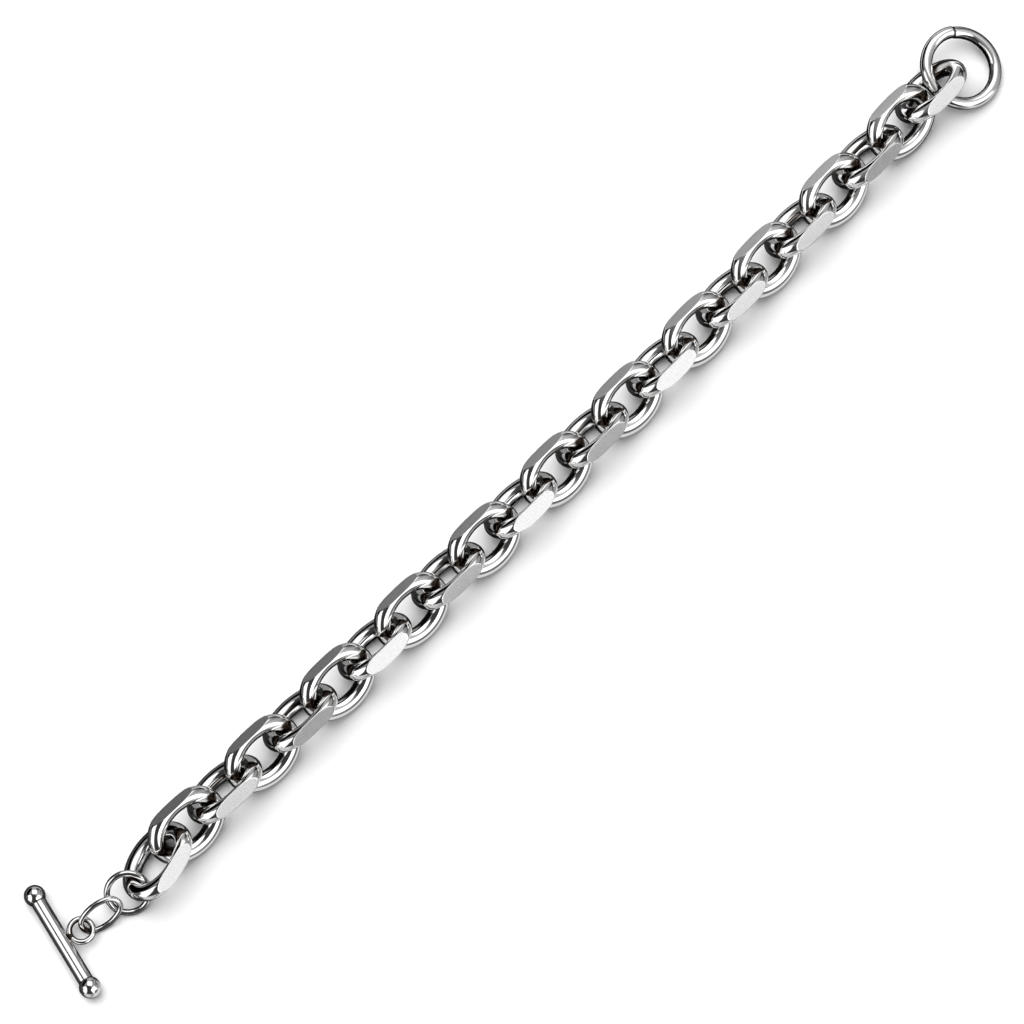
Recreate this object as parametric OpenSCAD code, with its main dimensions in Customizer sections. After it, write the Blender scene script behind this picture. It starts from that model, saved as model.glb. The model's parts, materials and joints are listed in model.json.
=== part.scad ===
// Link bracelet with a toggle clasp, laid open in a line. Millimetres, Z up, chain along X.
// Alternate oval links lean 45 degrees to either side and rest on their low limbs; each high limb
// is cut to one flat. The end ring is on the +X side and the toggle bar on the -X side.

/* [Main links] */
// Number of main links, an odd number
link_count = 23; // [5:2:41]
// Length of a main link over its end bends
link_length = 13.85; // [13.2:0.05:15.5]
// Width of a main link over its limbs, before the flat is cut
link_width = 11.1; // [10.6:0.1:12.5]
// Diameter of the wire of the main links
link_wire = 2.75; // [2.3:0.05:2.9]
// Radius of the end bends, to the middle of the wire
bend_radius = 3.56; // [3.2:0.02:3.9]
// Distance of the cut flat from the middle of the wire
flat_offset = 0.2; // [0:0.05:1]
// Play between two neighbouring links
link_play = 0.23; // [0.12:0.01:0.6]
// Lean of each main link out of the table
link_lean = 45; // [42:0.5:48]
// Bend of the whole chain as it lies, in degrees
chain_bend = 3.1; // [0.5:0.1:10]

/* [End ring] */
// Outer diameter of the end ring
ring_outer = 14; // [13:0.1:16]
// Diameter of the wire of the end ring
ring_wire = 2; // [1.6:0.05:2.2]
// Gap at the seam where the two ends of the ring's wire meet
ring_seam = 0.12; // [0.05:0.01:0.3]

/* [Jump ring and oval link] */
// Outer diameter of the jump ring
jump_outer = 7.5; // [7.2:0.05:8.2]
// Diameter of the wire of the jump ring
jump_wire = 1; // [0.8:0.05:1.1]
// Length of the small oval link
oval_length = 7.75; // [7.5:0.05:8.2]
// Width of the small oval link
oval_width = 5.2; // [5:0.05:5.5]
// Diameter of the wire of the small oval link
oval_wire = 0.9; // [0.7:0.05:1]
// Radius of the end bends of the oval link, to the middle of the wire
oval_bend = 1.75; // [1.6:0.02:1.9]

/* [Toggle bar] */
// Length of the toggle bar over its balls
toggle_length = 20.27; // [18:0.1:23]
// Diameter of the toggle bar
bar_dia = 2.45; // [2:0.05:2.8]
// Diameter of the ball at each end of the bar
ball_dia = 3.4; // [3:0.1:4]
// Outer diameter of the eye soldered to the middle of the bar
eye_outer = 4.56; // [4.3:0.02:5]
// Diameter of the wire of the eye
eye_wire = 0.9; // [0.7:0.05:1]
// Depth to which the eye is let into the bar
eye_inset = 0.15; // [0.05:0.01:0.4]
// Diameter of the solder at the foot of the eye
solder_dia = 1.1; // [0.9:0.05:1.4]
// Clearance between the rings and the links that they lean on
lean_gap = 0.12; // [0.1:0.01:0.3]

/* [Hidden] */
$fn = 64;

// How the loose pieces lie, chosen by eye: the near edge of the end ring is placed from the end of
// the last link but one, the jump ring from the end of its link, and the others from the middle of
// the piece before them
first_link_place = [1.01, -0.98];
first_link_turn = 15.6;
first_link_lean = 36.6;
last_link_slack = 0.8;
ring_place = [0.385, -0.332];
ring_downhill = -64.2;
jump_place = [0.258, 1.741];
jump_downhill = -130.1;
oval_place = [-5.36, 0.55, 2.28];
oval_downhill = -115.1;
oval_tilt = 50.1;
oval_turn = -3.4;
bar_place = [-6.95, 1.41];
bar_turn = 75.8;
eye_droop = 2.2;
seam_angle = 57;

// How much thinner a limb is than the bends, and how far it reaches into them
limb_thinning = 0.02;
limb_entry = 0.2;

// Angle round each ring, from its highest point, at which it crosses the limb under it
ring_cross_angle = 47.16;
jump_cross_angle = 58.67;

// Route of the chain: an arc through the middle link at the origin
link_step = link_length - 2 * link_wire - link_play;
step_angle = chain_bend / (link_count - 1);
route_radius = link_step / (2 * sin(step_angle / 2));
limb_reach = (link_width - link_wire) / 2;
middle = (link_count + 1) / 2;
function heading(k) = (k - middle) * step_angle;
function route(k) = route_radius * [sin(heading(k)), 1 - cos(heading(k))];
function rest_height(lean) = limb_reach * sin(lean) + link_wire / 2;

// Places of the two outermost links
first_link_at = route(1) + first_link_place;
last_link_at = route(link_count) - last_link_slack * [cos(heading(link_count)), sin(heading(link_count))];
function link_at(k) = k == 1 ? first_link_at : k == link_count ? last_link_at : route(k);
function link_turn(k) = heading(k) + (k == 1 ? first_link_turn : 0);
function lean_of(k) = k == 1 ? first_link_lean : link_lean;
function link_end(k, side) = link_at(k) + side * link_length / 2 * [cos(link_turn(k)), sin(link_turn(k))];

// Each ring leans from the table over the low limb of its link
low_limb_top = link_wire + lean_gap;
ring_radius = (ring_outer - ring_wire) / 2;
ring_tilt = asin(low_limb_top / (ring_radius * (1 + cos(ring_cross_angle))));
ring_foot = link_end(link_count - 1, 1) + [ring_outer / 2, 0] + ring_place;
ring_at = [each ring_foot, ring_radius * sin(ring_tilt) + ring_wire / 2];
jump_radius = (jump_outer - jump_wire) / 2;
jump_tilt = asin(low_limb_top / (jump_radius * (1 + cos(jump_cross_angle))));
jump_at = [each (link_end(1, -1) + jump_place), jump_radius * sin(jump_tilt) + jump_wire / 2];

// Oval link and toggle bar
oval_at = [jump_at.x + oval_place.x, jump_at.y + oval_place.y, oval_place.z];
bar_at = [oval_at.x + bar_place.x, oval_at.y + bar_place.y, ball_dia / 2];
ball_reach = (toggle_length - ball_dia) / 2;
eye_radius = (eye_outer - eye_wire) / 2;
eye_reach = bar_dia / 2 + eye_outer / 2 - eye_inset;

// Middle of the whole bracelet, which becomes the origin
left_end = bar_at.x - ball_reach * abs(cos(bar_turn)) - ball_dia / 2;
ring_across = norm([cos(ring_tilt) * cos(ring_downhill), sin(ring_downhill)]);
right_end = ring_at.x + ring_radius * ring_across + ring_wire / 2;
origin_at = [(left_end + right_end) / 2, bar_at.y, 0];

function link_name(k) = str("link_", k < 10 ? "0" : "", k);

// Wire bent to part of a circle about Z
module bent_wire(radius, dia, start, sweep) {
    rotate(start) rotate_extrude(angle = sweep) translate([radius, 0]) circle(d = dia);
}

// Closed oval of round wire in the XY plane: two end bends joined by two bowed limbs, which are
// drawn a trifle thinner and reach a little way into the bends
module oval_of_wire(length, width, dia, bend) {
    half_length = (length - dia) / 2;
    half_width = (width - dia) / 2;
    bend_x = half_length - bend;
    limb_radius = (bend_x * bend_x + half_width * half_width - bend * bend) / (2 * (half_width - bend));
    limb_angle = atan2(bend_x, limb_radius - half_width);
    limb_sweep = 2 * (limb_angle + limb_entry / limb_radius * 180 / PI);
    for (side = [0, 180]) rotate(side) {
        translate([bend_x, 0]) bent_wire(bend, dia, limb_angle - 90, 180 - 2 * limb_angle);
        translate([0, half_width - limb_radius])
            bent_wire(limb_radius, dia - limb_thinning, 90 - limb_sweep / 2, limb_sweep);
    }
}

// Leans what is drawn in the XY plane so that it runs downhill towards one direction
module lean_towards(direction, tilt) {
    rotate(a = tilt, v = [-sin(direction), cos(direction), 0]) children();
}

// Main link in the XY plane, with the flat cut across its +Y limb
module cut_link() {
    difference() {
        oval_of_wire(link_length, link_width, link_wire, bend_radius);
        translate([-link_length / 2, limb_reach + flat_offset, -link_wire])
            cube([link_length, link_wire, 2 * link_wire]);
    }
}

module main_link(k) {
    side = k % 2 == 0 ? 1 : -1;
    color("silver")
        translate([each link_at(k), rest_height(lean_of(k))])
            rotate(link_turn(k)) rotate([side * lean_of(k), 0, 0]) rotate(side > 0 ? 0 : 180)
                cut_link();
}

module end_ring() {
    seam_sweep = ring_seam / ring_radius * 180 / PI;
    color("silver")
        translate(ring_at) lean_towards(ring_downhill, ring_tilt)
            bent_wire(ring_radius, ring_wire, seam_angle + seam_sweep / 2, 360 - seam_sweep);
}

module jump_ring() {
    color("silver")
        translate(jump_at) lean_towards(jump_downhill, jump_tilt)
            bent_wire(jump_radius, jump_wire, 0, 360);
}

module oval_link() {
    color("silver")
        translate(oval_at) lean_towards(oval_downhill, oval_tilt) rotate(oval_turn)
            oval_of_wire(oval_length, oval_width, oval_wire, oval_bend);
}

module toggle_bar() {
    color("silver") translate(bar_at) rotate(bar_turn) {
        rotate([0, 90, 0]) {
            translate([0, 0, -ball_reach]) cylinder(d = bar_dia, h = 2 * ball_reach);
            for (end = [-1, 1]) translate([0, 0, end * ball_reach]) sphere(d = ball_dia);
        }
        rotate([eye_droop, 0, 0]) {
            translate([0, -eye_reach, 0]) bent_wire(eye_radius, eye_wire, 0, 360);
            rotate([90, 0, 0]) cylinder(d = solder_dia, h = eye_reach - eye_radius + eye_wire / 4);
        }
    }
}

translate(-origin_at) {
    for (k = [1:link_count]) main_link(k);
    end_ring();
    jump_ring();
    oval_link();
    toggle_bar();
}
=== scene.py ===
import json
import math

import bpy
import numpy as np
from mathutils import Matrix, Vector

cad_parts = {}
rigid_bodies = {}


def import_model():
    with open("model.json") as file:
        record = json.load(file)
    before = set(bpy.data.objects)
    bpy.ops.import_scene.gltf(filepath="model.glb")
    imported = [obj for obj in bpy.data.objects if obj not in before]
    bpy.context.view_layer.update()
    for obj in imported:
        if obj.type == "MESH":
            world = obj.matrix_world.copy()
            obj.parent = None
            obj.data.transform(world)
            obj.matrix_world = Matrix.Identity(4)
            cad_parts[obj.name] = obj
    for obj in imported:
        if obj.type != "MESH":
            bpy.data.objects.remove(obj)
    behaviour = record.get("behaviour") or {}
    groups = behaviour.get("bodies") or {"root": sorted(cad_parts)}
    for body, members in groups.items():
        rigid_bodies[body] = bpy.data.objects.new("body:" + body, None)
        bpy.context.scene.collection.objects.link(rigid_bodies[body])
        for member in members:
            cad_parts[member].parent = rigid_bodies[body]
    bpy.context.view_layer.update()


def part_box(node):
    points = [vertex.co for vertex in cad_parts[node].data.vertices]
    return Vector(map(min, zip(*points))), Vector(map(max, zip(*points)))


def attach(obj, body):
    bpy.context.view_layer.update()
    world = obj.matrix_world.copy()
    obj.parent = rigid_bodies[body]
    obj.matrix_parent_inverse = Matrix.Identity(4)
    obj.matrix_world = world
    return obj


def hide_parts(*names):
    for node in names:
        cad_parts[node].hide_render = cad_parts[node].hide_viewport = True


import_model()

# Main links: 23 ovals of thick round silver wire, bent round a mandrel and soldered shut. They lean
# 45 degrees to alternate sides, rest on their low limbs, and each high limb is ground to one flat.
# Sizes are in millimetres, which MM turns to Blender's metres.
MM = 0.001
LINK_COUNT = 23
LINK_LENGTH = 13.85
LINK_WIDTH = 11.1
LINK_WIRE = 2.75
BEND_RADIUS = 3.56
FLAT_OFFSET = 0.2
LINK_PLAY = 0.23
LINK_LEAN = 45
CHAIN_BEND = 3.1
# The first link lies off the row, is turned and leans less, and the last has slipped to its neighbour
FIRST_LINK_PLACE = np.array([1.01, -0.98])
FIRST_LINK_TURN = 15.6
FIRST_LINK_LEAN = 36.6
LAST_LINK_SLACK = 0.8
# How far each flat was ground off true, in degrees, which decides the light that it catches
FLAT_TILTS = {1: 14, 3: 0.5, 5: -6.5, 7: 11, 9: -3.5, 11: 11, 13: -4.5, 15: 11, 17: 2.2, 19: 0.2,
              21: -8, 23: 2.5}
# Width of the rounded edge round a flat, and the smallest half angle under which a flat is seen
FLAT_EDGE = 0.1
SMALLEST_HALF_FLAT = 0.25
# The plane cuts the wire where the Y of its outward normal is over CUT_FROM. The grain of the flat
# sets in GRAIN_START times GRAIN_FADE edge widths inside the cut, over GRAIN_FADE edge widths.
CUT_FROM = 0.3
GRAIN_START = 0.6
GRAIN_FADE = 0.5
# Half angle in degrees of the wire's inner side that is darkened with the tarnish colour, on the cut limb
# and on the other one, and the angle over which the darkening fades out; it is partly patina and partly
# painted shade for the dark reflections there. The cut limb is where the Y of the outward normal is over
# LIMB_FROM, which sets in over LIMB_FADE.
CUT_LIMB_INSIDE = 74
PLAIN_LIMB_INSIDE = 17
INSIDE_FADE = 8
LIMB_FROM = 0.6
LIMB_FADE = 0.35
# Rows along the wire, and columns over the flat, over each of its edges and over the round part
LINK_ROWS = 184
FLAT_COLUMNS = 9
EDGE_COLUMNS = 4
ROUND_COLUMNS = 34
SILVER = (0.93, 0.925, 0.92, 1)
# Brown-black of tarnish, used both for real tarnish and for painted shade in the nooks and on the wire's
# inner side
TARNISH_SHADE_COLOUR = (0.05, 0.036, 0.028, 1)

LIMB_REACH = (LINK_WIDTH - LINK_WIRE) / 2
LINK_STEP = LINK_LENGTH - 2 * LINK_WIRE - LINK_PLAY
STEP_ANGLE = CHAIN_BEND / (LINK_COUNT - 1)
ROUTE_RADIUS = LINK_STEP / (2 * math.sin(math.radians(STEP_ANGLE / 2)))
MIDDLE_LINK = (LINK_COUNT + 1) // 2


def flat_direction(degrees):
    """Unit vector in the XY plane at an angle from +X."""
    return np.array([math.cos(math.radians(degrees)), math.sin(math.radians(degrees))])


def box_of(node):
    """Lowest and highest corner of a CAD node's box, in millimetres."""
    low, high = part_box(node)
    return np.array(low) / MM, np.array(high) / MM


middle_low, middle_high = box_of(f"link_{MIDDLE_LINK:02d}")
CHAIN_MIDDLE = np.array([(middle_low[0] + middle_high[0]) / 2,
                         middle_low[1] + LIMB_REACH * math.cos(math.radians(LINK_LEAN)) + LINK_WIRE / 2])


def heading(k):
    """Direction of the chain at link k, which turns by the same angle from link to link."""
    return (k - MIDDLE_LINK) * STEP_ANGLE


def link_spot(k):
    """Middle of link k on the table: a point of the chain's arc, with the two outermost links shifted."""
    a = math.radians(heading(k))
    spot = ROUTE_RADIUS * np.array([math.sin(a), 1 - math.cos(a)])
    if k == 1:
        spot = spot + FIRST_LINK_PLACE
    if k == LINK_COUNT:
        spot = spot - LAST_LINK_SLACK * flat_direction(heading(k))
    return CHAIN_MIDDLE + spot


def turned(points, axis, degrees):
    """Points turned round the X, Y or Z axis by the right-hand rule."""
    c, s = math.cos(math.radians(degrees)), math.sin(math.radians(degrees))
    a, b = [(1, 2), (2, 0), (0, 1)][axis]
    out = np.array(points, float)
    out[..., a] = c * points[..., a] - s * points[..., b]
    out[..., b] = s * points[..., a] + c * points[..., b]
    return out


def as_link(points, k):
    """Points of a flat-lying link, leaned to its side, turned along the chain and set on the table."""
    side = 1 if k % 2 == 0 else -1
    lean = FIRST_LINK_LEAN if k == 1 else LINK_LEAN
    leaned_over = turned(turned(points, 2, 0 if side > 0 else 180), 0, side * lean)
    height = LIMB_REACH * math.sin(math.radians(lean)) + LINK_WIRE / 2
    turn = heading(k) + (FIRST_LINK_TURN if k == 1 else 0)
    return turned(leaned_over, 2, turn) + np.append(link_spot(k), height)


def oval_line(length, width, wire, bend, rows):
    """Middle of the wire of an oval, and its outward normal. The normal turns once round; each point
    is the centre of its arc plus the arc's radius times the normal, for two end bends and two limbs."""
    half_length, half_width = (length - wire) / 2, (width - wire) / 2
    bend_x = half_length - bend
    limb = (bend_x ** 2 + half_width ** 2 - bend ** 2) / (2 * (half_width - bend))
    limb_angle = math.atan2(bend_x, limb - half_width)
    bend_share = bend * (math.pi - 2 * limb_angle)
    bend_rows = round(rows / 2 * bend_share / (bend_share + limb * 2 * limb_angle))
    limb_rows = rows // 2 - bend_rows
    quarter = math.pi / 2
    arcs = [((bend_x, 0), bend, -quarter + limb_angle, quarter - limb_angle, bend_rows),
            ((0, half_width - limb), limb, quarter - limb_angle, quarter + limb_angle, limb_rows),
            ((-bend_x, 0), bend, quarter + limb_angle, 3 * quarter - limb_angle, bend_rows),
            ((0, limb - half_width), limb, 3 * quarter - limb_angle, 3 * quarter + limb_angle, limb_rows)]
    turn = np.concatenate([np.linspace(a, b, n, endpoint=False) for _, _, a, b, n in arcs])
    centre = np.concatenate([np.tile(c, (n, 1)) for c, _, _, _, n in arcs])
    radius = np.concatenate([np.full(n, r) for _, r, _, _, n in arcs])
    normal = np.stack([np.cos(turn), np.sin(turn), 0 * turn], 1)
    line = radius[:, None] * normal
    line[:, :2] += centre
    return line, normal


def smooth_least(a, b, blend):
    """The smaller of two values, rounded where they are closer than blend."""
    h = np.maximum(blend - np.abs(a - b), 0) / blend
    return np.minimum(a, b) - h * h * blend / 4


def ground_section(line, normal, radius, height, tilt):
    """Surface of a round wire whose part beyond a plane is ground off, with the masks of its flat and of
    its darkened inner side, which is partly patina and partly painted shade. The plane holds the line y =
    height, z = 0 and is tilted about it. The columns follow the edge of the flat: half the flat is seen
    under the angle whose cosine is the plane's distance / radius, and the wire's reach is the smooth least
    of the circle's and the plane's."""
    t = math.radians(tilt)
    rise = np.maximum(normal[:, 1], CUT_FROM) * math.cos(t)
    slope = np.hypot(rise, math.sin(t))
    distance = (height - line[:, 1]) * math.cos(t) / slope
    left = np.where(normal[:, 1] > CUT_FROM, distance, 2 * radius)[:, None]
    lean = np.arctan2(math.sin(t), rise)[:, None]
    half = np.arccos(np.clip(left / radius, -1, math.cos(SMALLEST_HALF_FLAT)))
    edge = np.minimum(FLAT_EDGE / (radius * np.sin(half)), half / 2)
    across = np.linspace(-1, 1, FLAT_COLUMNS)[None]
    over_edge = np.linspace(-1, 1, EDGE_COLUMNS + 2)[None, 1:-1]
    round_part = np.linspace(0, 1, ROUND_COLUMNS)[None]
    v = np.concatenate([across * (half - edge), half + over_edge * edge,
                        half + edge + round_part * 2 * (math.pi - half - edge),
                        2 * math.pi - half + over_edge * edge], 1)
    circle = radius * np.cos(v)
    reach = smooth_least(circle, left, FLAT_EDGE)
    flat = np.clip((circle - left) / (GRAIN_FADE * FLAT_EDGE) - GRAIN_START, 0, 1)
    inward = np.degrees(np.abs(math.pi - v))
    on_limb = np.clip((normal[:, 1] - LIMB_FROM) / LIMB_FADE, 0, 1)[:, None]
    # The darkened inner side: partly patina, partly painted shade for the dark reflections there
    darkened_half_angle = PLAIN_LIMB_INSIDE + (CUT_LIMB_INSIDE - PLAIN_LIMB_INSIDE) * on_limb
    inside = np.clip((darkened_half_angle - inward) / INSIDE_FADE, 0, 1)
    sideways = radius * np.sin(v)
    outward = reach * np.cos(lean) - sideways * np.sin(lean)
    points = line[:, None] + outward[..., None] * normal[:, None]
    points[..., 2] += reach * np.sin(lean) + sideways * np.cos(lean)
    return points, flat, inside


def add_node(tree, kind, settings=None, **inputs):
    """Adds a shader node. An input is given by its name, with _ for a space, or by its number, as _0.
    A socket is linked to it, and any other value is stored in it."""
    node = tree.nodes.new(kind)
    for key, value in (settings or {}).items():
        setattr(node, key, value)
    for key, value in inputs.items():
        socket = node.inputs[int(key[1:])] if key[0] == "_" else node.inputs[key.replace("_", " ")]
        if isinstance(value, bpy.types.NodeSocket):
            tree.links.new(value, socket)
        else:
            socket.default_value = value
    return node


def node_group(name, inputs, outputs):
    """Empty shader node group with named sockets, and its two end nodes."""
    tree = bpy.data.node_groups.new(name, "ShaderNodeTree")
    for label, kind in inputs.items():
        tree.interface.new_socket(name=label, in_out="INPUT", socket_type=kind)
    for label, kind in outputs.items():
        tree.interface.new_socket(name=label, in_out="OUTPUT", socket_type=kind)
    return tree, tree.nodes.new("NodeGroupInput"), tree.nodes.new("NodeGroupOutput")


def new_material(name):
    """Material with one metallic Principled shader; gives the material, its tree and the shader."""
    material = bpy.data.materials.new(name)
    material.use_nodes = True
    tree = material.node_tree
    tree.nodes.clear()
    metal = add_node(tree, "ShaderNodeBsdfPrincipled", Metallic=1.0)
    add_node(tree, "ShaderNodeOutputMaterial", Surface=metal.outputs[0])
    return material, tree, metal


NUMBER, COLOUR, VECTOR = "NodeSocketFloat", "NodeSocketColor", "NodeSocketVector"

# Polish: uneven gloss and a very faint ripple left by the buffing wheel
polish_group, group_in, group_out = node_group(
    "buffed_polish", {"Gloss": NUMBER, "Unevenness": NUMBER, "Ripple": NUMBER},
    {"Roughness": NUMBER, "Normal": VECTOR})
where = add_node(polish_group, "ShaderNodeTexCoord").outputs["Object"]
wear = add_node(polish_group, "ShaderNodeTexNoise", Vector=where, Scale=900.0, Detail=4.0)
rough = add_node(polish_group, "ShaderNodeMath", {"operation": "MULTIPLY_ADD"}, _0=wear.outputs["Fac"],
                 _1=group_in.outputs["Unevenness"], _2=group_in.outputs["Gloss"])
ripple = add_node(polish_group, "ShaderNodeTexNoise", Vector=where, Scale=420.0, Detail=1.0)
bump = add_node(polish_group, "ShaderNodeBump", Height=ripple.outputs["Fac"],
                Strength=group_in.outputs["Ripple"], Distance=0.0001)
polish_group.links.new(rough.outputs[0], group_out.inputs["Roughness"])
polish_group.links.new(bump.outputs[0], group_out.inputs["Normal"])

# Tarnish and painted shade: the brown-black of silver sulphide, partly real tarnish that polishing leaves
# in the nooks between the pieces and partly painted shade there and on the inner side of their wire, read
# from the "nook" and "inside" numbers of the mesh
tarnish_shade_group, group_in, group_out = node_group(
    "tarnish_and_painted_shade", {"Silver": COLOUR, "Tarnish": COLOUR, "Amount": NUMBER}, {"Color": COLOUR})
where = add_node(tarnish_shade_group, "ShaderNodeTexCoord").outputs["Object"]
nook = add_node(tarnish_shade_group, "ShaderNodeAttribute", {"attribute_name": "nook"})
blotch = add_node(tarnish_shade_group, "ShaderNodeTexNoise", Vector=where, Scale=1500.0, Detail=4.0)
patchy = add_node(tarnish_shade_group, "ShaderNodeMapRange", Value=blotch.outputs["Fac"],
                  From_Min=0.35, From_Max=0.65, To_Min=0.25, To_Max=1.4)
spread = add_node(tarnish_shade_group, "ShaderNodeMath", {"operation": "MULTIPLY"},
                  _0=nook.outputs["Fac"], _1=patchy.outputs[0])
inner = add_node(tarnish_shade_group, "ShaderNodeAttribute", {"attribute_name": "inside"})
either = add_node(tarnish_shade_group, "ShaderNodeMath", {"operation": "MAXIMUM"},
                  _0=spread.outputs[0], _1=inner.outputs["Fac"])
amount = add_node(tarnish_shade_group, "ShaderNodeMath", {"operation": "MULTIPLY", "use_clamp": True},
                  _0=either.outputs[0], _1=group_in.outputs["Amount"])
stain_and_shade = add_node(tarnish_shade_group, "ShaderNodeMix", {"data_type": "RGBA"}, _0=amount.outputs[0],
                 _6=group_in.outputs["Silver"], _7=group_in.outputs["Tarnish"])
tarnish_shade_group.links.new(stain_and_shade.outputs[2], group_out.inputs["Color"])

# Polished silver whose flats were ground and left finely grained
link_silver, tree, metal = new_material("polished_link_with_ground_flat")
polish = add_node(tree, "ShaderNodeGroup", {"node_tree": polish_group},
                  Gloss=0.04, Unevenness=0.05, Ripple=0.3)
# The tarnish colour darkens nooks and inner sides: partly real tarnish, partly painted shade
tarnish_shade_node = add_node(tree, "ShaderNodeGroup", {"node_tree": tarnish_shade_group},
                   Silver=SILVER, Tarnish=TARNISH_SHADE_COLOUR, Amount=1.0)
where = add_node(tree, "ShaderNodeTexCoord").outputs["Object"]
flat_mask = add_node(tree, "ShaderNodeAttribute", {"attribute_name": "flat"}).outputs["Fac"]
grain = add_node(tree, "ShaderNodeTexNoise", Vector=where, Scale=7000.0, Detail=3.0)
grain_tone = add_node(tree, "ShaderNodeMapRange", Value=grain.outputs["Fac"],
                      From_Min=0.3, From_Max=0.7, To_Min=0.58, To_Max=0.84)
ground_colour = add_node(tree, "ShaderNodeCombineColor", Red=grain_tone.outputs[0],
                         Green=grain_tone.outputs[0], Blue=grain_tone.outputs[0])
surface_colour = add_node(tree, "ShaderNodeMix", {"data_type": "RGBA"}, _0=flat_mask,
                          _6=tarnish_shade_node.outputs["Color"], _7=ground_colour.outputs[0])
ground_rough = add_node(tree, "ShaderNodeMapRange", Value=grain.outputs["Fac"],
                        From_Min=0.3, From_Max=0.7, To_Min=0.3, To_Max=0.42)
surface_rough = add_node(tree, "ShaderNodeMix", {"data_type": "FLOAT"}, _0=flat_mask,
                         _2=polish.outputs["Roughness"], _3=ground_rough.outputs[0])
ground_bump = add_node(tree, "ShaderNodeBump", Height=grain.outputs["Fac"], Strength=flat_mask,
                       Distance=0.00001, Normal=polish.outputs["Normal"])
tree.links.new(surface_colour.outputs[2], metal.inputs["Base Color"])
tree.links.new(surface_rough.outputs[0], metal.inputs["Roughness"])
tree.links.new(ground_bump.outputs[0], metal.inputs["Normal"])

# Wires that a piece can touch, by name: the middle of the wire and its radius
wires = {}


def grid_piece(name, node, points, material, fields=None, ends=False):
    """Mesh of a grid of points in millimetres, closed round its columns and, unless it has two ends,
    round its rows. A piece with ends gets one face over each. The fields are numbers kept at its
    vertices. The piece rides on the one body and stands for its CAD node."""
    rows, columns = points.shape[:2]
    index = np.arange(rows * columns).reshape(rows, columns)
    onward = np.roll(index, -1, 0)
    if ends:
        index, onward = index[:-1], onward[:-1]
    quads = np.stack([index, onward, np.roll(onward, -1, 1), np.roll(index, -1, 1)], -1).reshape(-1, 4)
    faces = quads.tolist()
    if ends:
        faces += [list(range(columns))[::-1], list(range((rows - 1) * columns, rows * columns))]
    mesh = bpy.data.meshes.new(name)
    mesh.from_pydata((points.reshape(-1, 3) * MM).tolist(), [], faces)
    mesh.polygons.foreach_set("use_smooth", np.ones(len(faces), bool))
    for field, values in (fields or {}).items():
        layer = mesh.attributes.new(field, "FLOAT", "POINT")
        layer.data.foreach_set("value", np.ascontiguousarray(values, np.float32).ravel())
    mesh.materials.append(material)
    mesh.update()
    piece = bpy.data.objects.new(name, mesh)
    bpy.context.scene.collection.objects.link(piece)
    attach(piece, "root")
    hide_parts(node)


link_line, link_normal = oval_line(LINK_LENGTH, LINK_WIDTH, LINK_WIRE, BEND_RADIUS, LINK_ROWS)
for k in range(1, LINK_COUNT + 1):
    points, flat, inside = ground_section(link_line, link_normal, LINK_WIRE / 2,
                                          LIMB_REACH + FLAT_OFFSET, FLAT_TILTS.get(k, 0))
    grid_piece(f"main_link_{k:02d}", f"link_{k:02d}", as_link(points, k), link_silver,
               {"flat": flat, "inside": inside})
    wires[f"main_link_{k:02d}"] = (as_link(link_line, k), LINK_WIRE / 2)

# End ring: wire of 2 mm bent to a circle and closed by a butt seam with rounded edges. It hangs in the
# last main link, leans over its low limb, and the toggle goes through it.
RING_OUTER = 14
RING_WIRE = 2
RING_SEAM = 0.12
# Rounding of the wire's two ends, the step by which one stands out, how far along the wire the step
# reaches, and how far dirt reaches from the seam, in roundings
SEAM_EDGE = 0.08
SEAM_STEP = 0.13
SEAM_STEP_REACH = 3
SEAM_DIRT = 1.6
SEAM_ROWS = 6
RING_ROWS = 198
RING_COLUMNS = 40
# Half angle of the end ring's darkened inner side, partly patina and partly painted shade
RING_INSIDE = 30
# The ring leans downhill towards RING_DOWNHILL. It passes over the main link's limb RING_CROSS_ANGLE
# round from its highest point, with a gap of LEAN_GAP. Its seam is at SEAM_ANGLE before it is leaned.
RING_DOWNHILL = -64.2
RING_CROSS_ANGLE = 47.16
LEAN_GAP = 0.12
SEAM_ANGLE = 57


def about(points, axis, degrees):
    """Points turned round a unit axis through the origin: the part along the axis stays, and the rest
    turns in its plane."""
    a = math.radians(degrees)
    along = (points @ axis)[..., None] * axis
    return along + math.cos(a) * (points - along) + math.sin(a) * np.cross(axis, points)


def leaned(points, direction, tilt):
    """Points tilted so that their plane runs downhill towards a direction."""
    return about(points, np.append(flat_direction(direction + 90), 0), tilt)


def ring_lean(radius, cross_angle):
    """Tilt at which a ring that stands on the table passes over a main link's low limb."""
    rise = LINK_WIRE + LEAN_GAP
    return math.degrees(math.asin(rise / (radius * (1 + math.cos(math.radians(cross_angle))))))


def circle_line(radius, degrees):
    """Middle of a wire bent to a circle, and its outward normal, at the angles given in degrees."""
    turn = np.radians(degrees)
    normal = np.stack([np.cos(turn), np.sin(turn), 0 * turn], 1)
    return radius * normal, normal


def round_section(line, normal, radius, columns):
    """Surface of a round wire: middle line + radius * (cos v * normal + sin v * Z), v going once round."""
    v = np.linspace(0, 2 * math.pi, columns, endpoint=False)[None, :, None]
    radius = np.broadcast_to(radius, len(line))[:, None, None]
    return line[:, None] + radius * (np.cos(v) * normal[:, None] + np.sin(v) * np.array([0, 0, 1.0]))


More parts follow.
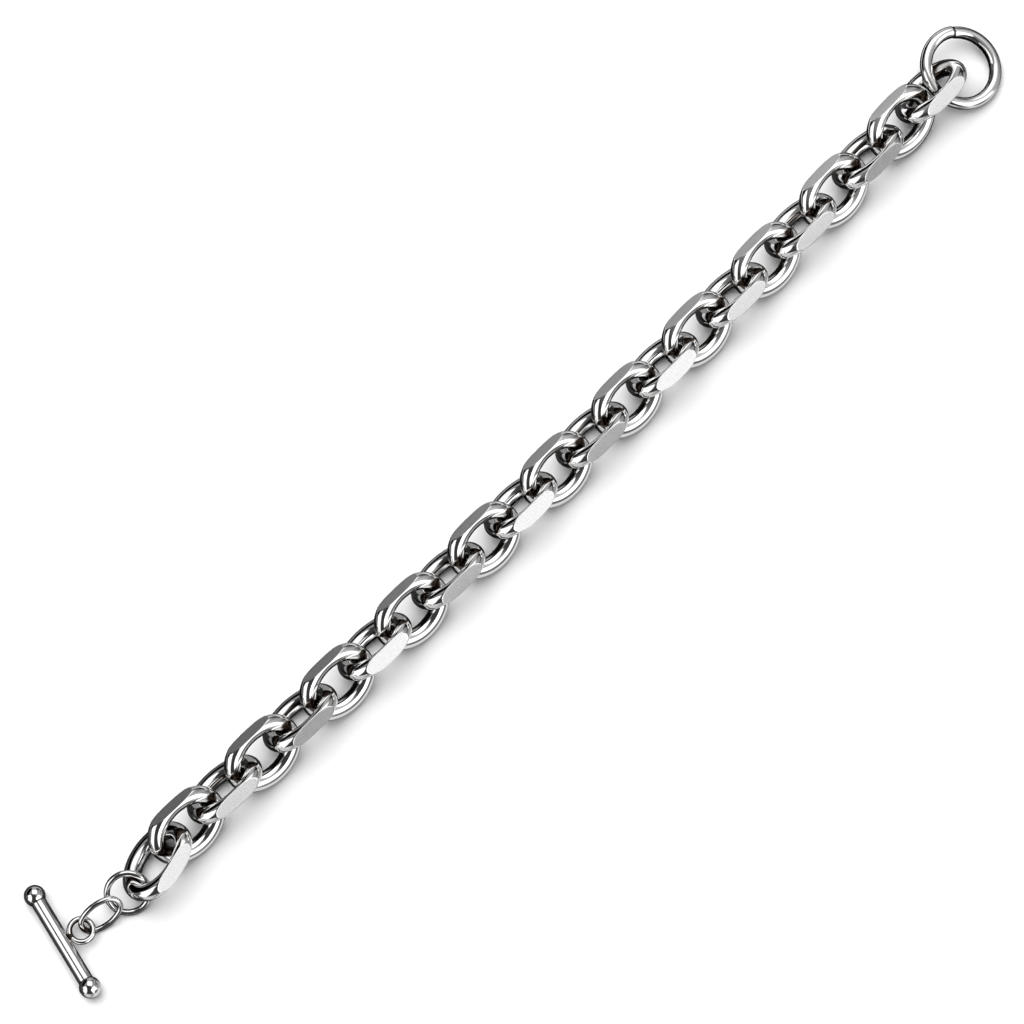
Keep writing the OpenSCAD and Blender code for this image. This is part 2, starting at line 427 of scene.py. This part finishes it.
# The inner side gets the tarnish colour: partly patina, partly painted shade
def inner_side(rows, columns, half_angle):
    """Number for each vertex of a round section that is 1 on the inner side of the bend, under the half
    angle in degrees, and falls to 0 over INSIDE_FADE degrees. Column 0 is the outermost."""
    inward = np.abs(180 - 360 * np.arange(columns) / columns)
    return np.tile(np.clip((half_angle - inward) / INSIDE_FADE, 0, 1), rows)


# Polished silver of the rings, the oval link and the toggle
silver, tree, metal = new_material("polished_silver")
polish = add_node(tree, "ShaderNodeGroup", {"node_tree": polish_group},
                  Gloss=0.04, Unevenness=0.05, Ripple=0.3)
# The tarnish colour darkens nooks and inner sides: partly real tarnish, partly painted shade
tarnish_shade_node = add_node(tree, "ShaderNodeGroup", {"node_tree": tarnish_shade_group},
                   Silver=SILVER, Tarnish=TARNISH_SHADE_COLOUR, Amount=1.0)
tree.links.new(tarnish_shade_node.outputs["Color"], metal.inputs["Base Color"])
tree.links.new(polish.outputs["Roughness"], metal.inputs["Roughness"])
tree.links.new(polish.outputs["Normal"], metal.inputs["Normal"])

ring_radius = (RING_OUTER - RING_WIRE) / 2
# The wire's radius shrinks over its last bit as a quarter circle does: edge * (1 - sqrt(1 - x * x))
round_off = np.linspace(1, 0, SEAM_ROWS)
end_steps = SEAM_EDGE * (1 - round_off)
ring_length = 2 * math.pi * ring_radius - RING_SEAM
between = np.linspace(SEAM_EDGE, ring_length - SEAM_EDGE, RING_ROWS + 2)[1:-1]
along_ring = np.concatenate([end_steps, between, ring_length - end_steps[::-1]])
shrink = SEAM_EDGE * (1 - np.sqrt(1 - round_off ** 2))
ring_thickness = RING_WIRE / 2 - np.concatenate([shrink, np.zeros(RING_ROWS), shrink[::-1]])
ring_line, ring_normal = circle_line(ring_radius,
                                     SEAM_ANGLE + np.degrees((along_ring + RING_SEAM / 2) / ring_radius))
# One end stands out by the step, which dies out along the wire as exp(-(x / reach)^2)
ring_line += (SEAM_STEP * np.exp(-(along_ring / SEAM_STEP_REACH) ** 2))[:, None] * ring_normal
from_seam = np.minimum(along_ring, ring_length - along_ring)
seam_dirt = np.repeat(np.clip(SEAM_DIRT - from_seam / SEAM_EDGE, 0, 1), RING_COLUMNS)
ring_at = np.mean(box_of("end_ring"), 0)


def as_ring(points):
    """Points of the flat-lying end ring, leaned and set where the CAD ring is."""
    return leaned(points, RING_DOWNHILL, ring_lean(ring_radius, RING_CROSS_ANGLE)) + ring_at


grid_piece("end_ring_wire", "end_ring",
           as_ring(round_section(ring_line, ring_normal, ring_thickness, RING_COLUMNS)),
           silver, {"inside": np.maximum(seam_dirt, inner_side(len(ring_line), RING_COLUMNS, RING_INSIDE))},
           ends=True)
wires["end_ring_wire"] = (as_ring(ring_line), RING_WIRE / 2)

# Jump ring: a small ring of 1 mm silver wire, bent round a rod and soldered shut. It hangs in the
# first main link, leans over that link's low limb, and carries the oval link.
JUMP_OUTER = 7.5
JUMP_WIRE = 1
JUMP_ROWS = 120
JUMP_COLUMNS = 28
JUMP_INSIDE = 38
JUMP_DOWNHILL = -130.1
JUMP_CROSS_ANGLE = 58.67
jump_radius = (JUMP_OUTER - JUMP_WIRE) / 2
jump_line, jump_normal = circle_line(jump_radius, np.linspace(0, 360, JUMP_ROWS, endpoint=False))
jump_at = np.mean(box_of("jump_ring"), 0)


def as_jump(points):
    """Points of the flat-lying jump ring, leaned and set where the CAD ring is."""
    return leaned(points, JUMP_DOWNHILL, ring_lean(jump_radius, JUMP_CROSS_ANGLE)) + jump_at


grid_piece("jump_ring_wire", "jump_ring",
           as_jump(round_section(jump_line, jump_normal, JUMP_WIRE / 2, JUMP_COLUMNS)),
           silver, {"inside": inner_side(JUMP_ROWS, JUMP_COLUMNS, JUMP_INSIDE)})
wires["jump_ring_wire"] = (as_jump(jump_line), JUMP_WIRE / 2)

# Oval link: a small oval of 0.9 mm silver wire, soldered shut. It joins the jump ring to the toggle's
# eye and is propped on both.
OVAL_LENGTH = 7.75
OVAL_WIDTH = 5.2
OVAL_WIRE = 0.9
OVAL_ROWS = 120
OVAL_COLUMNS = 26
OVAL_INSIDE = 20
OVAL_BEND = 1.75
OVAL_DOWNHILL = -115.1
OVAL_TILT = 50.1
OVAL_TURN = -3.4
small_line, small_normal = oval_line(OVAL_LENGTH, OVAL_WIDTH, OVAL_WIRE, OVAL_BEND, OVAL_ROWS)
oval_at = np.mean(box_of("oval_link"), 0)


def as_oval(points):
    """Points of the flat-lying oval link, turned, leaned and set where the CAD link is."""
    return leaned(turned(points, 2, OVAL_TURN), OVAL_DOWNHILL, OVAL_TILT) + oval_at


grid_piece("oval_link_wire", "oval_link",
           as_oval(round_section(small_line, small_normal, OVAL_WIRE / 2, OVAL_COLUMNS)),
           silver, {"inside": inner_side(OVAL_ROWS, OVAL_COLUMNS, OVAL_INSIDE)})
wires["oval_link_wire"] = (as_oval(small_line), OVAL_WIRE / 2)

# Toggle: a straight round bar with a ball at each end, turned from one rod, and an eye of thin wire
# soldered to its middle; the solder has run up the foot of the eye
TOGGLE_LENGTH = 20.27
BAR_DIA = 2.45
BALL_DIA = 3.4
EYE_OUTER = 4.56
EYE_WIRE = 0.9
EYE_INSET = 0.15
EYE_ROWS = 96
EYE_COLUMNS = 24
EYE_INSIDE = 75
SOLDER_DIA = 1.1
BAR_TURN = 75.8
EYE_DROOP = 2.2
ROD_COLUMNS = 48
BALL_ROWS = 34
ROD_ROWS = 10
# A ball's first row as an angle from its pole, the rod's first rows as their distances from the ball, and
# the distance where its even rows begin. The darkening in the crease between ball and rod ends CREASE_START
# times CREASE_DARKENING away from it.
BALL_POLE = 0.02
NECK_STEPS = np.array([0.05, 0.1, 0.2])
NECK_REACH = 0.4
CREASE_DARKENING = 0.12
CREASE_START = 1.3
ball_reach = (TOGGLE_LENGTH - BALL_DIA) / 2
bar_x = box_of("toggle_bar")[0][0] + ball_reach * abs(flat_direction(BAR_TURN)[0]) + BALL_DIA / 2


def as_bar(points):
    """Points of the bar along X, turned and laid on the table where the CAD bar is."""
    return turned(points, 2, BAR_TURN) + np.array([bar_x, 0, BALL_DIA / 2])


def turned_profile(stations, radii, columns):
    """Surface of a turned rod along X: each station's point is its radius times (cos v, sin v)."""
    v = np.linspace(0, 2 * math.pi, columns, endpoint=False)[None]
    x = np.broadcast_to(stations[:, None], (len(stations), columns))
    return np.stack([x, radii[:, None] * np.cos(v), radii[:, None] * np.sin(v)], -1)


neck_turn = math.pi - math.asin(BAR_DIA / BALL_DIA)
ball_turn = np.linspace(BALL_POLE, neck_turn, BALL_ROWS)
ball_x = ball_reach + BALL_DIA / 2 * np.cos(ball_turn)
rod_x = np.concatenate([ball_x[-1] - NECK_STEPS, np.linspace(ball_x[-1] - NECK_REACH, 0, ROD_ROWS)])
half_x = np.concatenate([ball_x, rod_x])
half_r = np.concatenate([BALL_DIA / 2 * np.sin(ball_turn), np.full(len(rod_x), BAR_DIA / 2)])
stations = np.concatenate([half_x, -half_x[-2::-1]])[::-1]
radii = np.concatenate([half_r, half_r[-2::-1]])[::-1]
crease = np.clip(CREASE_START - np.abs(np.abs(stations) - ball_x[-1]) / CREASE_DARKENING, 0, 1)
grid_piece("toggle_rod", "toggle_bar", as_bar(turned_profile(stations, radii, ROD_COLUMNS)), silver,
           {"inside": np.repeat(crease, ROD_COLUMNS)}, ends=True)

eye_radius = (EYE_OUTER - EYE_WIRE) / 2
eye_reach = BAR_DIA / 2 + EYE_OUTER / 2 - EYE_INSET
eye_line, eye_normal = circle_line(eye_radius, np.linspace(0, 360, EYE_ROWS, endpoint=False))
eye_line = eye_line - np.array([0, eye_reach, 0])


def as_eye(points):
    """Points of the eye in the bar's frame, drooped about the bar and set with it."""
    return as_bar(turned(points, 0, EYE_DROOP))


grid_piece("toggle_eye", "toggle_bar",
           as_eye(round_section(eye_line, eye_normal, EYE_WIRE / 2, EYE_COLUMNS)),
           silver, {"inside": inner_side(EYE_ROWS, EYE_COLUMNS, EYE_INSIDE)})
wires["toggle_eye"] = (as_eye(eye_line), EYE_WIRE / 2)
# The solder is turned about the line from bar to eye and is dark all over. Its radius is its own plus
# a flare that dies out as exp(-height / FLARE_HEIGHT) from FLARE_SINK inside the bar. It starts inside
# the bar and ends inside the eye's wire.
SOLDER_SINK = 0.15
FLARE = 0.3
FLARE_SINK = 0.1
FLARE_HEIGHT = 0.15
SOLDER_ROWS = 16
SOLDER_COLUMNS = 32
solder_top = eye_reach - eye_radius + EYE_WIRE / 4
solder_y = np.linspace(BAR_DIA / 2 - SOLDER_SINK, solder_top, SOLDER_ROWS)
flare_rise = np.maximum(solder_y - BAR_DIA / 2 + FLARE_SINK, 0)
solder_r = SOLDER_DIA / 2 + FLARE * np.exp(-flare_rise / FLARE_HEIGHT)
solder = turned(turned_profile(solder_y, solder_r, SOLDER_COLUMNS), 2, -90)
grid_piece("toggle_solder", "toggle_bar", as_eye(solder), silver,
           {"inside": np.ones(SOLDER_ROWS * SOLDER_COLUMNS)}, ends=True)

# Tarnish and painted shade where pieces nearly touch: each piece gets a "nook" number that is 1 against its
# neighbour's wire and falls to 0 at NOOK_REACH as the square of the way, and the silver there turns
# brown-black, partly as real tarnish and partly as painted shade.
# The neighbour's line is taken in a few parts, which keeps the table of distances small.
NOOK_REACH = 0.32
LINE_PARTS = 8
chain = ["toggle_eye", "oval_link_wire", "jump_ring_wire"]
chain += [f"main_link_{k:02d}" for k in range(1, LINK_COUNT + 1)] + ["end_ring_wire"]
neighbours = {name: chain[max(i - 1, 0):i] + chain[i + 1:i + 2] for i, name in enumerate(chain)}
neighbours["toggle_rod"] = neighbours["toggle_solder"] = ["toggle_eye"]
for name, others in neighbours.items():
    mesh = bpy.data.objects[name].data
    points = np.empty(len(mesh.vertices) * 3, np.float32)
    mesh.vertices.foreach_get("co", points)
    points = points.reshape(-1, 3) / MM
    gap = np.full(len(points), NOOK_REACH)
    for line, radius in [wires[other] for other in others]:
        for part in np.array_split(line, LINE_PARTS):
            away = np.linalg.norm(points[:, None] - part[None], axis=2).min(1) - radius
            gap = np.minimum(gap, np.maximum(away, 0))
    layer = mesh.attributes.new("nook", "FLOAT", "POINT")
    layer.data.foreach_set("value", (1 - gap / NOOK_REACH) ** 2)

# Table: a plain white sheet under the bracelet. Under the chain and the clasp, reflected rays see it
# painted dark, a painted shade; further out the metal reflects the lower half of the studio below in its
# place.
SHEET_SEEN = 0.9
SHEET_REFLECTED_SHADE = 0.03
FLOOR_REACH = 1.2
# The painted dark strip ends from STRIP_DARK to STRIP_OPEN beside the middle, in metres. Towards the clasp
# and the end ring, from CLASP_NEAR to CLASP_FAR, it widens and shifts by STRIP_SHIFT of that.
STRIP_DARK = 0.0043
STRIP_OPEN = 0.0075
STRIP_WIDER = 0.011
STRIP_SHIFT = 0.75
CLASP_NEAR = 0.081
CLASP_FAR = 0.091
floor_mesh = bpy.data.meshes.new("floor")
corners = [(-1, -1), (1, -1), (1, 1), (-1, 1)]
floor_mesh.from_pydata([(x * FLOOR_REACH, y * FLOOR_REACH, 0) for x, y in corners], [], [(0, 1, 2, 3)])
floor = bpy.data.objects.new("floor", floor_mesh)
bpy.context.scene.collection.objects.link(floor)
paper = bpy.data.materials.new("white_table")
paper.use_nodes = True
tree = paper.node_tree
tree.nodes.clear()
path = add_node(tree, "ShaderNodeLightPath")
where = add_node(tree, "ShaderNodeTexCoord").outputs["Object"]
spot = add_node(tree, "ShaderNodeSeparateXYZ", Vector=where)
from_middle = add_node(tree, "ShaderNodeMath", {"operation": "ABSOLUTE"}, _0=spot.outputs["X"])
widening = add_node(tree, "ShaderNodeMapRange", Value=from_middle.outputs[0],
                    From_Min=CLASP_NEAR, From_Max=CLASP_FAR, To_Min=0.0, To_Max=STRIP_WIDER)
off_centre = add_node(tree, "ShaderNodeMath", {"operation": "MULTIPLY_ADD"}, _0=widening.outputs[0],
                      _1=-STRIP_SHIFT, _2=spot.outputs["Y"])
from_chain = add_node(tree, "ShaderNodeMath", {"operation": "ABSOLUTE"}, _0=off_centre.outputs[0])
beside = add_node(tree, "ShaderNodeMath", {"operation": "SUBTRACT"},
                  _0=from_chain.outputs[0], _1=widening.outputs[0])
open_side = add_node(tree, "ShaderNodeMapRange", {"interpolation_type": "SMOOTHSTEP"},
                     Value=beside.outputs[0], From_Min=STRIP_DARK, From_Max=STRIP_OPEN)
seen = add_node(tree, "ShaderNodeBsdfDiffuse", Color=(SHEET_SEEN, SHEET_SEEN, SHEET_SEEN, 1))
# Painted shade: reflected rays see the sheet dark under the chain
painted_shade = add_node(tree, "ShaderNodeBsdfDiffuse", Color=(SHEET_REFLECTED_SHADE, SHEET_REFLECTED_SHADE, SHEET_REFLECTED_SHADE, 1))
beyond = add_node(tree, "ShaderNodeBsdfTransparent")
mirrored = add_node(tree, "ShaderNodeMixShader", _0=open_side.outputs[0], _1=painted_shade.outputs[0],
                    _2=beyond.outputs[0])
sheet = add_node(tree, "ShaderNodeMixShader", _0=path.outputs["Is Glossy Ray"], _1=seen.outputs[0],
                 _2=mirrored.outputs[0])
add_node(tree, "ShaderNodeOutputMaterial", Surface=sheet.outputs[0])
floor_mesh.materials.append(paper)

# Studio, as the metal reflects it, painted on the sky for reflected rays only: a dark room with soft lights
# above, and below, in place of the table, a painted reflection of it with dark parts. Each part is a
# rounded box on the disc that one sees looking straight up or down: its middle, turn, half axes, softness
# and brightness or darkness.
BACKDROP = 0.9
AMBIENT = 0.11
# Direction on the table that points up in the picture, in degrees from +X. The disc is turned to it.
PICTURE_TURN = 44.07
# Bare brightness of the room above, with its lights and dark parts, and then that of the table
ROOM = 0.04
LIGHTS = [((0.03, 0.44), 0, (0.42, 0.37), 0.13, 1.25),
          ((0.64, -0.41), 57, (0.45, 0.21), 0.16, 1.6),
          ((-0.81, -0.51), -79, (0.49, 0.37), 0.13, 1.25),
          ((-0.15, 0.95), 0, (0.4, 0.2), 0.4, 0.4),
          ((-0.58, 0.42), 70, (0.3, 0.16), 0.5, 0.3),
          ((0.75, 0.2), 0, (0.5, 0.35), 0.6, 0.38)]
DARKS = [((-0.83, 0.59), 54, (0.62, 0.24), 0.2, 0.99),
         ((-1.12, -0.15), -80, (0.75, 0.19), 0.15, 0.9),
         ((0.78, 0.78), -45, (0.5, 0.36), 0.4, 0.6)]
TABLE = 0.6
TABLE_LIGHTS = [((0.65, -0.35), -30, (0.5, 0.5), 0.3, 0.72)]
TABLE_DARKS = [((0.857, -0.495), -30, (0.05, 0.5), 0.4, 0.75),
               ((-0.86, 0.25), 62, (0.66, 0.27), 0.2, 0.96),
               ((-0.45, -0.15), 0, (0.58, 0.42), 0.3, 0.92),
               ((-0.2, 0.93), 0, (0.35, 0.10), 0.3, 0.55),
               ((0.95, 0.3), -70, (0.40, 0.15), 0.3, 0.45),
               ((0.35, -0.92), -20, (0.30, 0.12), 0.3, 0.5)]
world = bpy.data.worlds.new("studio")
bpy.context.scene.world = world
world.use_nodes = True
tree = world.node_tree
tree.nodes.clear()
sky = add_node(tree, "ShaderNodeTexCoord").outputs["Generated"]
rightward = add_node(tree, "ShaderNodeVectorMath", {"operation": "DOT_PRODUCT"}, _0=sky,
                     _1=(*flat_direction(PICTURE_TURN - 90), 0))
upward = add_node(tree, "ShaderNodeVectorMath", {"operation": "DOT_PRODUCT"}, _0=sky,
                  _1=(*flat_direction(PICTURE_TURN), 0))
place = add_node(tree, "ShaderNodeCombineXYZ", X=rightward.outputs["Value"], Y=upward.outputs["Value"])


def soft_box(middle, turn, half_axes, softness, inside, outside):
    """Value that is `inside` in a rounded box on the disc and `outside` beyond its soft edge. The box is
    x^4 + y^4 < 1 in its own axes, so the square of its size is the length of (x^2, y^2)."""
    local = add_node(tree, "ShaderNodeMapping", {"vector_type": "TEXTURE"}, Vector=place.outputs[0],
                     Location=middle + (0,), Rotation=(0, 0, math.radians(turn)), Scale=half_axes + (1,))
    squares = add_node(tree, "ShaderNodeVectorMath", {"operation": "MULTIPLY"},
                       _0=local.outputs[0], _1=local.outputs[0])
    size = add_node(tree, "ShaderNodeVectorMath", {"operation": "LENGTH"}, _0=squares.outputs[0])
    return add_node(tree, "ShaderNodeMapRange", {"interpolation_type": "SMOOTHSTEP"},
                    Value=size.outputs["Value"], From_Min=(1 - softness) ** 2,
                    From_Max=(1 + softness) ** 2, To_Min=inside, To_Max=outside).outputs[0]


def lit_part(base, lights, darks):
    """Brightness of one half of the studio: the base or the brightest light, times each dark part."""
    level = add_node(tree, "ShaderNodeValue").outputs[0]
    level.default_value = base
    for middle, turn, half_axes, softness, brightness in lights:
        glow = soft_box(middle, turn, half_axes, softness, brightness, 0.0)
        level = add_node(tree, "ShaderNodeMath", {"operation": "MAXIMUM"}, _0=level, _1=glow).outputs[0]
    for middle, turn, half_axes, softness, darkness in darks:
        shade = soft_box(middle, turn, half_axes, softness, 1 - darkness, 1.0)
        level = add_node(tree, "ShaderNodeMath", {"operation": "MULTIPLY"}, _0=level, _1=shade).outputs[0]
    return level


height = add_node(tree, "ShaderNodeSeparateXYZ", Vector=sky)
above = add_node(tree, "ShaderNodeMath", {"operation": "GREATER_THAN"}, _0=height.outputs["Z"], _1=0.0)
level = add_node(tree, "ShaderNodeMix", {"data_type": "FLOAT"}, _0=above.outputs[0],
                 _2=lit_part(TABLE, TABLE_LIGHTS, TABLE_DARKS), _3=lit_part(ROOM, LIGHTS, DARKS))
reflected = add_node(tree, "ShaderNodeBackground", Color=(1, 1, 1, 1), Strength=level.outputs[0])
ambient = add_node(tree, "ShaderNodeBackground", Color=(1, 1, 1, 1), Strength=AMBIENT)
path = add_node(tree, "ShaderNodeLightPath")
both = add_node(tree, "ShaderNodeMixShader", _0=path.outputs["Is Glossy Ray"],
                _1=ambient.outputs[0], _2=reflected.outputs[0])
backdrop = add_node(tree, "ShaderNodeBackground", Color=(1, 1, 1, 1), Strength=BACKDROP)
seen = add_node(tree, "ShaderNodeMixShader", _0=path.outputs["Is Camera Ray"],
                _1=both.outputs[0], _2=backdrop.outputs[0])
add_node(tree, "ShaderNodeOutputWorld", Surface=seen.outputs[0])


# Card and scrim, which only the metal reflects, as painted reflections: a glowing card on the table behind
# the chain, its glow painted to grow towards the ring's end, gives the far flats their tones, and a glowing
# cloth overhead lightens the ring's end. Their sizes and heights are in metres.
CARD_NEAR = 0.028
CARD_REACH = 0.5
CARD_HEIGHT = 0.0002
# The card's painted glow grows along the chain, from its least at X = -CARD_HALF_RUN to CARD_HALF_RUN
CARD_HALF_RUN = 0.1
CARD_LEAST = 0.19
CARD_GAIN = 0.92
SCRIM_LENGTH = 0.4
SCRIM_WIDTH = 0.1
SCRIM_HEIGHT = 0.1
# The cloth's glow grows from SCRIM_DARK to SCRIM_FULL along X, and it fades from SCRIM_INNER to
# SCRIM_OUTER beside the chain
SCRIM_GLOW = 0.25
SCRIM_DARK = -0.03
SCRIM_FULL = 0.1
SCRIM_INNER = 0.04
SCRIM_OUTER = 0.09


def glossy_sheet(name, corners, height, lit):
    """Sheet at a height that only the metal reflects; `lit` makes its shader from the sheet's X and Y."""
    (x0, y0), (x1, y1) = corners
    mesh = bpy.data.meshes.new(name)
    mesh.from_pydata([(x0, y0, height), (x1, y0, height), (x1, y1, height), (x0, y1, height)], [],
                     [(0, 1, 2, 3)])
    sheet = bpy.data.objects.new(name, mesh)
    bpy.context.scene.collection.objects.link(sheet)
    material = bpy.data.materials.new(name)
    material.use_nodes = True
    tree = material.node_tree
    tree.nodes.clear()
    where = add_node(tree, "ShaderNodeTexCoord").outputs["Object"]
    spot = add_node(tree, "ShaderNodeSeparateXYZ", Vector=where)
    add_node(tree, "ShaderNodeOutputMaterial", Surface=lit(tree, spot))
    mesh.materials.append(material)
    sheet.visible_camera = sheet.visible_diffuse = sheet.visible_shadow = False


def card_light(tree, spot):
    """Emission of the least light plus the gain times the square of the way along the chain."""
    along = add_node(tree, "ShaderNodeMapRange", Value=spot.outputs["X"],
                     From_Min=-CARD_HALF_RUN, From_Max=CARD_HALF_RUN).outputs[0]
    curve = add_node(tree, "ShaderNodeMath", {"operation": "MULTIPLY"}, _0=along, _1=along)
    shade = add_node(tree, "ShaderNodeMath", {"operation": "MULTIPLY_ADD"}, _0=curve.outputs[0],
                     _1=CARD_GAIN, _2=CARD_LEAST)
    return add_node(tree, "ShaderNodeEmission", Strength=shade.outputs[0]).outputs[0]


def scrim_light(tree, spot):
    """Clear cloth that glows towards the ring's end and fades out to its sides."""
    along = add_node(tree, "ShaderNodeMapRange", Value=spot.outputs["X"],
                     From_Min=SCRIM_DARK, From_Max=SCRIM_FULL, To_Max=SCRIM_GLOW).outputs[0]
    aside = add_node(tree, "ShaderNodeMath", {"operation": "ABSOLUTE"}, _0=spot.outputs["Y"])
    fade = add_node(tree, "ShaderNodeMapRange", {"interpolation_type": "SMOOTHSTEP"},
                    Value=aside.outputs[0], From_Min=SCRIM_INNER, From_Max=SCRIM_OUTER,
                    To_Min=1.0, To_Max=0.0)
    glow = add_node(tree, "ShaderNodeMath", {"operation": "MULTIPLY"}, _0=along, _1=fade.outputs[0])
    shine = add_node(tree, "ShaderNodeEmission", Strength=glow.outputs[0])
    clear = add_node(tree, "ShaderNodeBsdfTransparent")
    return add_node(tree, "ShaderNodeAddShader", _0=shine.outputs[0], _1=clear.outputs[0]).outputs[0]


glossy_sheet("dark_card", ((-CARD_REACH, CARD_NEAR), (CARD_REACH, CARD_REACH)), CARD_HEIGHT, card_light)
glossy_sheet("scrim", ((-SCRIM_LENGTH, -SCRIM_WIDTH), (SCRIM_LENGTH, SCRIM_WIDTH)),
             SCRIM_HEIGHT, scrim_light)

# Key and fill: wide soft lights from the upper left and, weaker, from the lower right. The key casts
# the shadows that are seen, and both light the table to white. Each has a strength, and a width, an
# azimuth and an elevation in degrees.
LAMPS = {"key": (3.85, 72, 88, 63), "fill": (1.1, 50, -76, 40)}


def from_direction(azimuth, elevation):
    """Unit vector towards a place in the sky, the azimuth counted from +X."""
    a, e = math.radians(azimuth), math.radians(elevation)
    return Vector((math.cos(a) * math.cos(e), math.sin(a) * math.cos(e), math.sin(e)))


for name, (strength, width, azimuth, elevation) in LAMPS.items():
    lamp_data = bpy.data.lights.new(name, "SUN")
    lamp_data.energy = strength
    lamp_data.angle = math.radians(width)
    lamp = bpy.data.objects.new(name, lamp_data)
    lamp.rotation_mode = "QUATERNION"
    lamp.rotation_quaternion = from_direction(azimuth, elevation).to_track_quat("Z", "Y")
    lamp.visible_glossy = False
    bpy.context.scene.collection.objects.link(lamp)
bpy.context.scene.cycles.caustics_reflective = False

# Camera: a long lens high above the table, which sees the chain run from lower left to upper right.
# Its distance and the point that it looks at are in millimetres, and its focal length is in pixels of
# the square picture.
CAMERA_DISTANCE = 780
CAMERA_ELEVATION = 72.3
CAMERA_AIM = (-4.7, -1.1, 0)
FOCAL_PIXELS = 4930
IMAGE_PIXELS = 1024
SENSOR_WIDTH = 36
camera_data = bpy.data.cameras.new("camera")
camera_data.sensor_width = SENSOR_WIDTH
camera_data.lens = FOCAL_PIXELS / IMAGE_PIXELS * camera_data.sensor_width
camera_data.clip_start, camera_data.clip_end = 0.05, 10
camera = bpy.data.objects.new("camera", camera_data)
back = from_direction(PICTURE_TURN + 180, CAMERA_ELEVATION)
camera.rotation_mode = "QUATERNION"
camera.location = (Vector(CAMERA_AIM) + back * CAMERA_DISTANCE) * MM
camera.rotation_quaternion = back.to_track_quat("Z", "Y")
bpy.context.scene.collection.objects.link(camera)
bpy.context.scene.camera = camera
bpy.context.scene.view_settings.view_transform = "Standard"
